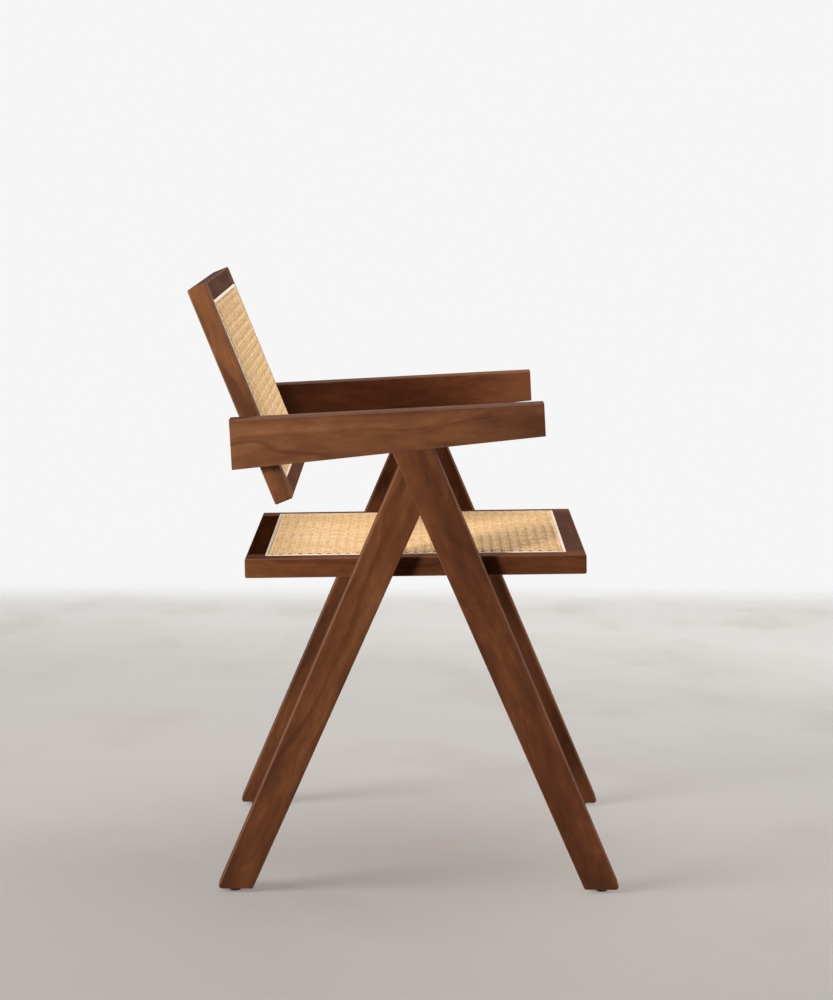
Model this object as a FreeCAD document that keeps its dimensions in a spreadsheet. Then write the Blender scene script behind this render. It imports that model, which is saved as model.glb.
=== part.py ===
import FreeCAD, Part
import math
import os
import Sketcher

# Dining armchair of stained wood: two inverted-V leg pairs, two tapered arms, and two frames of woven
# cane, the seat held between the legs and the reclined back held between the arms.
# Frame: millimetres, +Z up, floor at Z 0, the chair faces -Y, the sitter's right hand is at -X.
# "Ahead" below is the distance forward of the middle of the feet.

SIZES = {
    # Overall
    "overall_width": 540,
    "side_thickness": 35,
    "legs_ahead": 19.58,
    # Rounding: edges that are seen and touched, edges next to a joint, ends of the arms, feet
    "outer_round": 3,
    "joint_round": 1.2,
    "end_round": 0.9,
    "foot_round": 4.5,
    "frame_round": 2.5,
    # Legs
    "foot_span": 537,
    "foot_width": 47.3,
    "leg_outer_angle": 23.0,
    "leg_inner_angle": 23.75,
    # Arms
    "arm_length": 408.9,
    "arm_rear_depth": 66,
    "arm_front_depth": 43.4,
    "arm_rise": 3.2,
    "arm_reach_back": 247.9,
    "arm_rear_height": 626.9,
    # Caned frames
    "rail_width": 40,
    "border_width": 25.5,
    "spline_width": 5,
    "spline_proud": 1.2,
    "spline_round": 2.2,
    "cane_thickness": 1.2,
    "cane_tuck": 6,
    "groove_depth": 8,
    # Openings of the weave, as a coarse grid with the same open share
    "mesh_pitch": 33.2,
    "mesh_opening": 17,
    "mesh_across": 12,
    "seat_mesh_along": 11,
    "back_mesh_along": 7,
    # Seat
    "seat_depth": 449.7,
    "seat_thickness": 26,
    "seat_height": 443.5,
    "seat_behind": 5.6,
    "seat_tilt": 0.95,
    # Back
    "back_length": 303,
    "back_thickness": 25,
    "back_recline": 22.2,
    "back_behind": 223.6,
    "back_height": 660.7,
    # Dowels
    "dowel_radius": 4,
    "dowel_half": 15,
    "thick_dowel_radius": 5,
    "arm_dowel_half": 24,
    "glue_room": 1,
    "dowel_chamfer": 0.8,
    "corner_dowel_gap": 18,
    "corner_dowel_depth": 14.5,
    "back_dowel_drop": 64.5,
    "back_dowel_gap": 34,
    # Seat screws
    "screw_radius": 3,
    "screw_clearance": 3.3,
    "screw_length": 57,
    "screw_tip": 6,
    "screw_gap": 28,
    "screw_depth": 15,
    "screw_head_radius": 6,
    "screw_head_height": 4.5,
    "screw_socket": 5,
    "counterbore_radius": 6.5,
    "counterbore_depth": 8,
    # Glides
    "glide_height": 5,
    "glide_radius": 7,
    "glide_round": 0.8,
    "nail_radius": 1.25,
    "nail_length": 17,
    "nail_head_radius": 2.5,
    "nail_head_height": 1,
    "nail_recess": 0.8,
}
SIDES = ("right", "left")

doc = FreeCAD.newDocument("dining_armchair")
sheet = doc.addObject("Spreadsheet::Sheet", "Sizes")
for row, (alias, size) in enumerate(SIZES.items(), 1):
    sheet.set(f"A{row}", alias)
    sheet.set(f"B{row}", str(size))
    sheet.setAlias(f"B{row}", alias)
doc.recompute()

nodes = []


# Expressions for lines and points of the side view, as (ahead, height)

TAN_OUTER = "tan(Sizes.leg_outer_angle * 1deg)"
TAN_INNER = "tan(Sizes.leg_inner_angle * 1deg)"
FOOT_OUTER = "(Sizes.foot_span / 2)"
FOOT_INNER = "(Sizes.foot_span / 2 - Sizes.foot_width)"
ARM_COS = "cos(Sizes.arm_rise * 1deg)"
ARM_SIN = "sin(Sizes.arm_rise * 1deg)"
ARM_TAPER = "atan((Sizes.arm_rear_depth - Sizes.arm_front_depth) / Sizes.arm_length)"
UNDER_ANGLE = f"(Sizes.arm_rise * 1deg + {ARM_TAPER})"
MID_SIDE = "Sizes.side_thickness / 2"


def y_of(ahead):
    """Y of a point that lies `ahead` of the middle of the feet."""
    return f"(-({ahead}) - Sizes.legs_ahead)"


def arm_point(along, down):
    """A point of the arm: `along` its top edge from the rear, `down` square to that edge."""
    ahead = f"(({along}) * {ARM_COS} + ({down}) * {ARM_SIN} - Sizes.arm_reach_back)"
    height = f"(Sizes.arm_rear_height + ({along}) * {ARM_SIN} - ({down}) * {ARM_COS})"
    return ahead, height


def under_arm(foot, tangent):
    """Where a leg edge that starts at `foot` on the floor and leans back meets the arm's underside."""
    rear_ahead, rear_height = arm_point("0", "Sizes.arm_rear_depth")
    slope = f"tan{UNDER_ANGLE}"
    height = f"(({rear_height} + {slope} * ({foot} - {rear_ahead})) / (1 + {slope} * {tangent}))"
    return f"({foot} - {tangent} * {height})", height


def between(start, end, share):
    """The point a given share of the way from start to end."""
    return tuple(f"(({a}) * (1 - {share}) + ({b}) * {share})" for a, b in zip(start, end))


class Panel:
    """Placement of a caned frame: X across, Y along it, Z out of its show face, origin mid show face."""

    def __init__(self, ahead, height, angle):
        self.origin_y = y_of(ahead)
        self.origin_z = height
        self.angle = angle

    def point(self, along, out):
        """Y and Z in the chair of a point of the frame."""
        cosine = f"cos(({self.angle}) * 1deg)"
        sine = f"sin(({self.angle}) * 1deg)"
        y = f"({self.origin_y} + ({along}) * {cosine} - ({out}) * {sine})"
        z = f"({self.origin_z} + ({along}) * {sine} + ({out}) * {cosine})"
        return y, z

    def placement(self):
        return placed(("0", self.origin_y, self.origin_z), ("1; 0; 0", self.angle))


SEAT = Panel("-Sizes.seat_behind", "Sizes.seat_height", "-Sizes.seat_tilt")
BACK = Panel("-Sizes.back_behind", "Sizes.back_height", "90 - Sizes.back_recline")


# Making pieces

def new_body(label):
    body = doc.addObject("PartDesign::Body", label)
    body.Label = label
    return body


def new_sketch(body, name, role):
    sketch = body.newObject("Sketcher::SketchObject", name)
    plane = [feature for feature in body.Origin.OriginFeatures if feature.Role == role][0]
    sketch.AttachmentSupport = [(plane, "")]
    sketch.MapMode = "FlatFace"
    return sketch


def bind(sketch, kind, arguments, expression):
    value = float(sketch.evalExpression(expression))
    index = sketch.addConstraint(Sketcher.Constraint(kind, *arguments, value))
    sketch.setExpression(f"Constraints[{index}]", expression)


def point_of(sketch, corner):
    across, up = corner
    return FreeCAD.Vector(float(sketch.evalExpression(across)), float(sketch.evalExpression(up)), 0)


def draw_outline(sketch, corners):
    """A closed outline of straight edges; every corner is tied to the origin by its two expressions."""
    values = [point_of(sketch, corner) for corner in corners]
    first = sketch.GeometryCount
    count = len(corners)
    for i in range(count):
        sketch.addGeometry(Part.LineSegment(values[i], values[(i + 1) % count]), False)
    for i in range(count):
        sketch.addConstraint(Sketcher.Constraint("Coincident", first + i, 2, first + (i + 1) % count, 1))
    for i, (across, up) in enumerate(corners, first):
        bind(sketch, "DistanceX", (-1, 1, i, 1), across)
        bind(sketch, "DistanceY", (-1, 1, i, 1), up)


def pad(body, sketch, length, downward=False):
    feature = body.newObject("PartDesign::Pad", f"{sketch.Name}_pad")
    feature.Profile = sketch
    feature.setExpression("Length", length)
    feature.Reversed = downward
    doc.recompute()
    return feature


def draw_cut_corner(sketch, corner, on_floor, on_edge, radius):
    """The sliver between a corner and the arc that touches both its sides, as two lines and an arc."""
    tip, first, second = (point_of(sketch, point) for point in (corner, on_floor, on_edge))
    size = float(sketch.evalExpression(radius))
    circle = Part.Circle(first + FreeCAD.Vector(0, size, 0), FreeCAD.Vector(0, 0, 1), size)
    start, end = (first, second) if second.x > first.x else (second, first)
    arc = Part.ArcOfCircle(circle, circle.parameter(start), circle.parameter(end))
    sketch.addGeometry(Part.LineSegment(end, tip), False)
    sketch.addGeometry(Part.LineSegment(tip, start), False)
    sketch.addGeometry(arc, False)
    sketch.addConstraint(Sketcher.Constraint("Coincident", 0, 2, 1, 1))
    sketch.addConstraint(Sketcher.Constraint("Coincident", 1, 2, 2, 1))
    sketch.addConstraint(Sketcher.Constraint("Coincident", 2, 2, 0, 1))
    start_point, end_point = (on_floor, on_edge) if second.x > first.x else (on_edge, on_floor)
    for (across, up), line in ((end_point, 0), (corner, 1)):
        bind(sketch, "DistanceX", (-1, 1, line, 1), across)
        bind(sketch, "DistanceY", (-1, 1, line, 1), up)
    bind(sketch, "DistanceX", (-1, 1, 1, 2), start_point[0])
    bind(sketch, "DistanceY", (-1, 1, 1, 2), start_point[1])
    bind(sketch, "Radius", (2,), radius)


def round_edges(body, wanted, radius):
    """Rounds the edges of the body's last feature whose middle point passes the test `wanted`."""
    base = body.Tip
    names = []
    for index, edge in enumerate(base.Shape.Edges, 1):
        if wanted(edge.valueAt((edge.FirstParameter + edge.LastParameter) / 2)):
            names.append(f"Edge{index}")
    if not names:
        raise RuntimeError(f"{body.Name}: no edge to round")
    fillet = body.newObject("PartDesign::Fillet", f"{body.Name}_rounding")
    fillet.Base = (base, names)
    fillet.setExpression("Radius", radius)
    doc.recompute()
    return fillet


def drill(body, name, radius, depth, start, turn):
    """A round hole from `start` (x, y, z) along +Z turned by `turn` (axis, angle)."""
    hole = body.newObject("PartDesign::SubtractiveCylinder", name)
    hole.setExpression("Radius", radius)
    hole.setExpression("Height", depth)
    hole.setExpression("Placement", placed(start, turn))
    doc.recompute()
    return hole


def placed(start, turn):
    x, y, z = start
    axis, angle = turn
    return f"placement(vector({x}; {y}; {z}); rotation(vector({axis}); {angle}))"


def value(expression):
    """The present value of an expression in the sheet's sizes."""
    return float(sheet.evalExpression(expression))


ALONG_X = ("0; 1; 0", "90")
UPWARD = ("1; 0; 0", "0")
INTO_ARM = ("1; 0; 0", f"-{UNDER_ANGLE}")
INTO_FRONT_LEG = ("1; 0; 0", "90 - Sizes.leg_inner_angle")
TOLERANCE = 0.01


def dowel(name, radius, half, middle, turn):
    """A round pin with chamfered ends; `middle` is the point on its axis at the joint."""
    pin = doc.addObject("Part::Cylinder", f"{name}_pin")
    pin.setExpression("Radius", radius)
    pin.setExpression("Height", f"2 * ({half})")
    lowered = f"placement(vector(0; 0; -({half})); rotation(vector(0; 0; 1); 0))"
    pin.setExpression("Placement", f"{placed(middle, turn)} * {lowered}")
    doc.recompute()
    chamfer = doc.addObject("Part::Chamfer", name)
    chamfer.Base = pin
    size = value("Sizes.dowel_chamfer")
    rims = [i for i, edge in enumerate(pin.Shape.Edges, 1) if edge.Curve.TypeId == "Part::GeomCircle"]
    chamfer.Edges = [(i, size, size) for i in rims]
    return chamfer


def group(label, members):
    """One node of separate, like solids."""
    compound = doc.addObject("Part::Compound", label)
    compound.Label = label
    compound.Links = members
    nodes.append(compound)


def turned_body(label, outline):
    """A body of revolution about its own Z axis, from an outline of (radius, height) corners."""
    body = new_body(label)
    sketch = new_sketch(body, f"{label}_outline", "XZ_Plane")
    draw_outline(sketch, outline)
    turn = body.newObject("PartDesign::Revolution", f"{label}_turned")
    turn.Profile = sketch
    turn.ReferenceAxis = (sketch, ["V_Axis"])
    turn.Angle = 360
    doc.recompute()
    return body


def side_x(side):
    """X of the lower face of a side board: the outer face on the right, the inner face on the left."""
    if side == "right":
        return "-Sizes.overall_width / 2"
    return "Sizes.overall_width / 2 - Sizes.side_thickness"


def inner_hole_x(side, depth):
    """Where in the board a hole of that depth from the inner face starts, drilled along +X."""
    if side == "right":
        return f"Sizes.side_thickness - ({depth})"
    return "0"


def side_board(label, side, corners):
    """A board of the side thickness with the given outline (ahead, height)."""
    body = new_body(label)
    sketch = new_sketch(body, f"{label}_outline", "YZ_Plane")
    draw_outline(sketch, [(y_of(ahead), height) for ahead, height in corners])
    pad(body, sketch, "Sizes.side_thickness")
    body.setExpression("Placement", placed((side_x(side), "0", "0"), UPWARD))
    nodes.append(body)
    return body


def along_line(start, end):
    """A test for points near the line between two points (ahead, height) of the side view."""
    y0, z0 = value(y_of(start[0])), value(start[1])
    y1, z1 = value(y_of(end[0])), value(end[1])
    length = math.hypot(y1 - y0, z1 - z0)

    def near(point):
        along = ((point.y - y0) * (y1 - y0) + (point.z - z0) * (z1 - z0)) / length
        away = ((point.y - y0) * (z1 - z0) - (point.z - z0) * (y1 - y0)) / length
        return abs(away) < TOLERANCE and TOLERANCE < along < length - TOLERANCE

    return near


def round_foot(body, label, direction):
    """Rounds the two lower corners of a leg in the side view; `direction` is "" in front, "-" behind."""
    foot = "Sizes.glide_height"
    lower = {
        "outer": (FOOT_OUTER, "Sizes.leg_outer_angle", "-"),
        "inner": (FOOT_INNER, "Sizes.leg_inner_angle", ""),
    }
    for name, (at_floor, lean, inward) in lower.items():
        sine = f"sin({lean} * 1deg)"
        cosine = f"cos({lean} * 1deg)"
        reach = f"(Sizes.foot_round * tan((90 {'+' if inward else '-'} {lean}) * 0.5deg))"
        ahead = f"({at_floor} - tan({lean} * 1deg) * {foot})"
        points = [
            (ahead, foot),
            (f"({ahead} {inward or '+'} {reach})", foot),
            (f"({ahead} - {reach} * {sine})", f"({foot} + {reach} * {cosine})"),
        ]
        corner, on_floor, on_edge = [(y_of(f"{direction}{a}"), height) for a, height in points]
        sketch = new_sketch(body, f"{label}_{name}_corner", "YZ_Plane")
        draw_cut_corner(sketch, corner, on_floor, on_edge, "Sizes.foot_round")
        before = body.Shape.Volume
        pocket = body.newObject("PartDesign::Pocket", f"{label}_{name}_corner_cut")
        pocket.Profile = sketch
        pocket.Reversed = True
        pocket.setExpression("Length", "Sizes.side_thickness")
        doc.recompute()
        if pocket.Shape.Volume > before - 1:
            raise RuntimeError(f"{label}: the {name} corner was not rounded")


# Joint positions shared by the pieces on both sides of a joint

LEG_TOP_OUTER = under_arm(FOOT_OUTER, TAN_OUTER)
LEG_TOP_INNER = under_arm(FOOT_INNER, TAN_INNER)
ARM_DOWEL_SHARES = ("0.33", "0.70")
ARM_DOWELS = [between(LEG_TOP_INNER, LEG_TOP_OUTER, share) for share in ARM_DOWEL_SHARES]

JOINT_LOW = ("0", f"({FOOT_INNER} / {TAN_INNER})")
JOINT_HIGH_HEIGHT = f"(({FOOT_OUTER} + {FOOT_INNER}) / ({TAN_OUTER} + {TAN_INNER}))"
JOINT_HIGH = (f"({FOOT_INNER} - {TAN_INNER} * {JOINT_HIGH_HEIGHT})", JOINT_HIGH_HEIGHT)
LEG_DOWEL_SHARES = ("0.25", "0.60")
LEG_DOWELS = [between(JOINT_LOW, JOINT_HIGH, share) for share in LEG_DOWEL_SHARES]

SCREW_HEIGHT = "(Sizes.seat_height - Sizes.screw_depth)"
LEG_AHEAD_AT_SCREW = f"(({FOOT_OUTER} + {FOOT_INNER} - ({TAN_OUTER} + {TAN_INNER}) * {SCREW_HEIGHT}) / 2)"
SCREW_ALONG = {
    "front": [f"(-{LEG_AHEAD_AT_SCREW} - Sizes.seat_behind {sign} Sizes.screw_gap / 2)" for sign in "+-"],
    "rear": [f"({LEG_AHEAD_AT_SCREW} - Sizes.seat_behind {sign} Sizes.screw_gap / 2)" for sign in "+-"],
}
BACK_DOWEL_ALONG = [f"(-Sizes.back_dowel_drop {sign} Sizes.back_dowel_gap / 2)" for sign in "+-"]
BACK_DOWELS = [BACK.point(along, "-Sizes.back_thickness / 2") for along in BACK_DOWEL_ALONG]
FRAME_HALF_WIDTH = "(Sizes.overall_width / 2 - Sizes.side_thickness)"
RAIL_END = f"({FRAME_HALF_WIDTH} - Sizes.rail_width)"
ARM_HOLE = "(Sizes.arm_dowel_half + Sizes.glue_room)"
LEG_HOLE = "(Sizes.dowel_half + Sizes.glue_room)"
SCREW_IN_LEG = "(Sizes.screw_length - (Sizes.rail_width - Sizes.counterbore_depth))"
NAIL_IN_LEG = "(Sizes.nail_recess + Sizes.nail_length - Sizes.glide_height)"
FOOT_MIDDLE = f"(({FOOT_OUTER} + {FOOT_INNER} - ({TAN_OUTER} + {TAN_INNER}) * Sizes.glide_height) / 2)"
FOOT_MIDDLE_Y = {"front": y_of(FOOT_MIDDLE), "rear": y_of(f"-{FOOT_MIDDLE}")}
SEAT_HALF = "(Sizes.seat_depth / 2)"
BACK_HALF = "(Sizes.back_length / 2)"
INSIDE_SPLINE = "(Sizes.border_width + Sizes.spline_width)"
INSIDE_GROOVE = "(Sizes.border_width + Sizes.spline_width + Sizes.cane_thickness)"


# Legs and arms

def build_front_leg(side):
    label = f"front_leg_{side}"
    foot = "Sizes.glide_height"
    corners = [
        (f"({FOOT_INNER} - {TAN_INNER} * {foot})", foot),
        (f"({FOOT_OUTER} - {TAN_OUTER} * {foot})", foot),
        LEG_TOP_OUTER,
        LEG_TOP_INNER,
    ]
    body = side_board(label, side, corners)
    round_edges(body, along_line(corners[1], corners[2]), "Sizes.outer_round")
    round_edges(body, along_line(corners[0], corners[3]), "Sizes.joint_round")
    round_foot(body, label, "")
    for i, (ahead, height) in enumerate(ARM_DOWELS, 1):
        start_y = f"({y_of(ahead)} - {ARM_HOLE} * sin{UNDER_ANGLE})"
        start_z = f"({height} - {ARM_HOLE} * cos{UNDER_ANGLE})"
        drill(body, f"{label}_arm_hole_{i}", "Sizes.thick_dowel_radius", ARM_HOLE,
              (MID_SIDE, start_y, start_z), INTO_ARM)
    for i, (ahead, height) in enumerate(LEG_DOWELS, 1):
        drill(body, f"{label}_leg_hole_{i}", "Sizes.dowel_radius", LEG_HOLE,
              (MID_SIDE, y_of(ahead), height), INTO_FRONT_LEG)
    drill_screws_and_nail(body, label, side, "front")


def build_rear_leg(side):
    label = f"rear_leg_{side}"
    foot = "Sizes.glide_height"
    corners = [
        (f"({TAN_OUTER} * {foot} - {FOOT_OUTER})", foot),
        (f"({TAN_INNER} * {foot} - {FOOT_INNER})", foot),
        JOINT_LOW,
        JOINT_HIGH,
    ]
    body = side_board(label, side, corners)
    round_edges(body, along_line(corners[0], corners[3]), "Sizes.outer_round")
    round_edges(body, along_line(corners[1], corners[2]), "Sizes.joint_round")
    round_foot(body, label, "-")
    inner_angle = "(Sizes.leg_inner_angle * 1deg)"
    for i, (ahead, height) in enumerate(LEG_DOWELS, 1):
        start_y = f"({y_of(ahead)} + {LEG_HOLE} * cos{inner_angle})"
        start_z = f"({height} - {LEG_HOLE} * sin{inner_angle})"
        drill(body, f"{label}_leg_hole_{i}", "Sizes.dowel_radius", LEG_HOLE,
              (MID_SIDE, start_y, start_z), INTO_FRONT_LEG)
    drill_screws_and_nail(body, label, side, "rear")


def drill_screws_and_nail(body, label, side, which):
    for i, along in enumerate(SCREW_ALONG[which], 1):
        y, z = SEAT.point(along, "-Sizes.screw_depth")
        drill(body, f"{label}_screw_hole_{i}", "Sizes.screw_radius", SCREW_IN_LEG,
              (inner_hole_x(side, SCREW_IN_LEG), y, z), ALONG_X)
    drill(body, f"{label}_nail_hole", "Sizes.nail_radius", NAIL_IN_LEG,
          (MID_SIDE, FOOT_MIDDLE_Y[which], "Sizes.glide_height"), UPWARD)


def build_arm(side):
    label = f"arm_{side}"
    corners = [
        arm_point("0", "0"),
        arm_point("0", "Sizes.arm_rear_depth"),
        arm_point("Sizes.arm_length", "Sizes.arm_front_depth"),
        arm_point("Sizes.arm_length", "0"),
    ]
    body = side_board(label, side, corners)
    round_edges(body, along_line(corners[0], corners[3]), "Sizes.outer_round")
    round_edges(body, along_line(corners[1], corners[2]), "Sizes.joint_round")
    rear_end = along_line(corners[0], corners[1])
    front_end = along_line(corners[3], corners[2])
    round_edges(body, lambda middle: rear_end(middle) or front_end(middle), "Sizes.end_round")
    for i, (ahead, height) in enumerate(ARM_DOWELS, 1):
        drill(body, f"{label}_leg_hole_{i}", "Sizes.thick_dowel_radius", ARM_HOLE,
              (MID_SIDE, y_of(ahead), height), INTO_ARM)
    for i, (y, z) in enumerate(BACK_DOWELS, 1):
        drill(body, f"{label}_back_hole_{i}", "Sizes.thick_dowel_radius", LEG_HOLE,
              (inner_hole_x(side, LEG_HOLE), y, z), ALONG_X)


# Caned frames

def corners_inside(half_length, inset):
    """The corners of the rectangle that lies `inset` inside a frame's outline, anticlockwise."""
    half_x = f"({FRAME_HALF_WIDTH} - {inset})"
    half_y = f"({half_length} - {inset})"
    return [(f"{a}{half_x}", f"{b}{half_y}") for a, b in (("-", "-"), ("", "-"), ("", ""), ("-", ""))]


def cut_groove(body, half_length):
    """The groove round the frame that takes the edge of the cane and the spline."""
    sketch = new_sketch(body, f"{body.Name}_groove", "XY_Plane")
    for inset in ("Sizes.border_width", INSIDE_GROOVE):
        draw_outline(sketch, corners_inside(half_length, inset))
    pocket = body.newObject("PartDesign::Pocket", f"{body.Name}_groove_cut")
    pocket.Profile = sketch
    before = body.Shape.Volume
    pocket.setExpression("Length", "Sizes.groove_depth")
    doc.recompute()
    if pocket.Shape.Volume > before - 1:
        raise RuntimeError(f"{body.Name}: the groove took nothing away")


def corner_dowel_points(half_length):
    """(along, out) of the dowels at the two ends of the frame."""
    middle = f"({half_length} - Sizes.rail_width / 2)"
    points = []
    for end in "-+":
        for sign in "-+":
            points.append(f"({end}{middle} {sign} Sizes.corner_dowel_gap / 2)")
    return [(along, "-Sizes.corner_dowel_depth") for along in points]


def build_side_member(label, side, panel, half_length, thickness):
    """A member along the side of a frame, over its full length."""
    body = new_body(label)
    sketch = new_sketch(body, f"{label}_outline", "XY_Plane")
    sign = "-" if side == "right" else ""
    outer = f"({sign}{FRAME_HALF_WIDTH})"
    inner = f"({sign}{RAIL_END})"
    draw_outline(sketch, [(outer, f"-{half_length}"), (inner, f"-{half_length}"), (inner, half_length),
                          (outer, half_length)])
    pad(body, sketch, thickness, downward=True)
    inner_x = value(RAIL_END)
    round_edges(body, lambda middle: abs(middle.x) > inner_x + TOLERANCE, "Sizes.frame_round")
    cut_groove(body, half_length)
    hole_start = f"(-{RAIL_END} - {LEG_HOLE})" if side == "right" else RAIL_END
    for i, (along, out) in enumerate(corner_dowel_points(half_length), 1):
        drill(body, f"{label}_corner_hole_{i}", "Sizes.dowel_radius", LEG_HOLE,
              (hole_start, along, out), ALONG_X)
    body.setExpression("Placement", panel.placement())
    nodes.append(body)
    return body


def build_cross_member(label, end, panel, half_length, thickness):
    """A member across a frame, between the side members; `end` is the sign of its place along the frame."""
    body = new_body(label)
    sketch = new_sketch(body, f"{label}_outline", "XY_Plane")
    outer = f"({end}{half_length})"
    inner = f"({end}({half_length} - Sizes.rail_width))"
    left_end = f"-{RAIL_END}"
    draw_outline(sketch, [(left_end, outer), (RAIL_END, outer), (RAIL_END, inner), (left_end, inner)])
    pad(body, sketch, thickness, downward=True)
    outer_y = value(outer)
    end_x = value(RAIL_END)

    def along_outer_face(middle):
        return abs(middle.y - outer_y) < TOLERANCE and abs(middle.x) < end_x - TOLERANCE

    round_edges(body, along_outer_face, "Sizes.frame_round")
    cut_groove(body, half_length)
    ends = {"right": f"-{RAIL_END}", "left": f"({RAIL_END} - {LEG_HOLE})"}
    for i, (along, out) in enumerate(corner_dowel_points(half_length), 1):
        if (value(along) > 0) == (outer_y > 0):
            for side, start in ends.items():
                drill(body, f"{label}_{side}_hole_{i}", "Sizes.dowel_radius", LEG_HOLE,
                      (start, along, out), ALONG_X)
    body.setExpression("Placement", panel.placement())
    nodes.append(body)
    return body


def cut_mesh(body, count_along):
    """A plain grid of square openings for the open weave, from one opening in a corner."""
    half = "(Sizes.mesh_opening / 2)"
    first_x = "((1 - Sizes.mesh_across) / 2 * Sizes.mesh_pitch)"
    first_y = f"((1 - {count_along}) / 2 * Sizes.mesh_pitch)"
    corners = [(f"({first_x} {a} {half})", f"({first_y} {b} {half})") for a, b in ("--", "+-", "++", "-+")]
    sketch = new_sketch(body, f"{body.Name}_opening", "XY_Plane")
    draw_outline(sketch, corners)
    before = body.Shape.Volume
    pocket = body.newObject("PartDesign::Pocket", f"{body.Name}_opening_cut")
    pocket.Profile = sketch
    pocket.Reversed = True
    pocket.setExpression("Length", "Sizes.cane_thickness")
    doc.recompute()
    grid = body.newObject("PartDesign::LinearPattern", f"{body.Name}_mesh")
    grid.Originals = [pocket]
    grid.Direction = (sketch, ["H_Axis"])
    grid.Direction2 = (sketch, ["V_Axis"])
    grid.Mode = "Extent"
    grid.Mode2 = "Extent"
    for second, count in (("", "Sizes.mesh_across"), ("2", count_along)):
        grid.setExpression(f"Length{second}", f"({count} - 1) * Sizes.mesh_pitch")
        grid.setExpression(f"Occurrences{second}", count)
    body.Tip = grid
    doc.recompute()
    cut = value(f"Sizes.mesh_across * {count_along} * Sizes.mesh_opening ^ 2 * Sizes.cane_thickness")
    if abs(before - grid.Shape.Volume - cut) > 1:
        raise RuntimeError(f"{body.Name}: the openings took {before - grid.Shape.Volume} and not {cut}")


def build_cane(label, panel, half_length, count_along):
    """The woven sheet over the opening, with its edge tucked down into the groove."""
    body = new_body(label)
    sheet_sketch = new_sketch(body, f"{label}_sheet", "XY_Plane")
    draw_outline(sheet_sketch, corners_inside(half_length, INSIDE_SPLINE))
    pad(body, sheet_sketch, "Sizes.cane_thickness")
    tuck_sketch = new_sketch(body, f"{label}_tuck", "XY_Plane")
    for inset in (INSIDE_SPLINE, INSIDE_GROOVE):
        draw_outline(tuck_sketch, corners_inside(half_length, inset))
    pad(body, tuck_sketch, "Sizes.cane_tuck", downward=True)
    cut_mesh(body, count_along)
    body.setExpression("Placement", panel.placement())
    nodes.append(body)


def build_spline(label, panel, half_length):
    """Four lengths of reed, mitred at the corners, that fill the groove and stand a little proud."""
    outer = corners_inside(half_length, "Sizes.border_width")
    inner = corners_inside(half_length, INSIDE_SPLINE)
    top = value("Sizes.spline_proud")

    def along_top(middle):
        return middle.z > top - TOLERANCE and min(abs(middle.x), abs(middle.y)) < TOLERANCE

    lengths = []
    for i, name in enumerate(("lower", "left", "upper", "right")):
        body = new_body(f"{label}_{name}")
        after = (i + 1) % 4
        outline = [outer[i], outer[after], inner[after], inner[i]]
        for share, depth in (("above", "Sizes.spline_proud"), ("below", "Sizes.groove_depth")):
            sketch = new_sketch(body, f"{body.Name}_{share}", "XY_Plane")
            draw_outline(sketch, outline)
            pad(body, sketch, depth, downward=share == "below")
        round_edges(body, along_top, "Sizes.spline_round")
        body.setExpression("Placement", panel.placement())
        lengths.append(body)
    group(label, lengths)


def corner_dowels(label, panel, half_length):
    pins = []
    for side, sign in (("right", "-"), ("left", "")):
        for i, (along, out) in enumerate(corner_dowel_points(half_length), 1):
            y, z = panel.point(along, out)
            pins.append(dowel(f"{label}_{side}_{i}", "Sizes.dowel_radius", "Sizes.dowel_half",
                              (f"({sign}{RAIL_END})", y, z), ALONG_X))
    group(label, pins)


def drill_seat_screws(body, label, side):
    sign = "-" if side == "right" else ""
    inner_x = f"({sign}{RAIL_END})"
    for which in ("front", "rear"):
        for i, along in enumerate(SCREW_ALONG[which], 1):
            through = f"(-{FRAME_HALF_WIDTH})" if side == "right" else inner_x
            drill(body, f"{label}_{which}_screw_{i}", "Sizes.screw_clearance", "Sizes.rail_width",
                  (through, along, "-Sizes.screw_depth"), ALONG_X)
            start = f"({inner_x} - Sizes.counterbore_depth)" if side == "right" else inner_x
            drill(body, f"{label}_{which}_counterbore_{i}", "Sizes.counterbore_radius",
                  "Sizes.counterbore_depth", (start, along, "-Sizes.screw_depth"), ALONG_X)


def drill_arm_dowels(body, label, side):
    start = f"(-{FRAME_HALF_WIDTH})" if side == "right" else f"({FRAME_HALF_WIDTH} - {LEG_HOLE})"
    for i, along in enumerate(BACK_DOWEL_ALONG, 1):
        drill(body, f"{label}_arm_hole_{i}", "Sizes.thick_dowel_radius", LEG_HOLE,
              (start, along, "-Sizes.back_thickness / 2"), ALONG_X)


# Fasteners

def build_screws():
    screws = []
    shank = "Sizes.screw_length"
    tip = "(Sizes.screw_length - Sizes.screw_tip)"
    head_top = "(-Sizes.screw_head_height)"
    outline = [
        ("0", head_top),
        ("Sizes.screw_head_radius", head_top),
        ("Sizes.screw_head_radius", "0"),
        ("Sizes.screw_radius", "0"),
        ("Sizes.screw_radius", tip),
        ("0", shank),
    ]
    for side in SIDES:
        sign = "-" if side == "right" else ""
        turn = "-90" if side == "right" else "90"
        seat_of_head = f"({sign}({RAIL_END} + Sizes.counterbore_depth))"
        for which in ("front", "rear"):
            for i, along in enumerate(SCREW_ALONG[which], 1):
                screw = turned_body(f"screw_{side}_{which}_{i}", outline)
                cut_socket(screw)
                y, z = SEAT.point(along, "-Sizes.screw_depth")
                screw.setExpression("Placement", placed((seat_of_head, y, z), ("0; 1; 0", turn)))
                screws.append(screw)
    group("seat_screws", screws)


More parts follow.
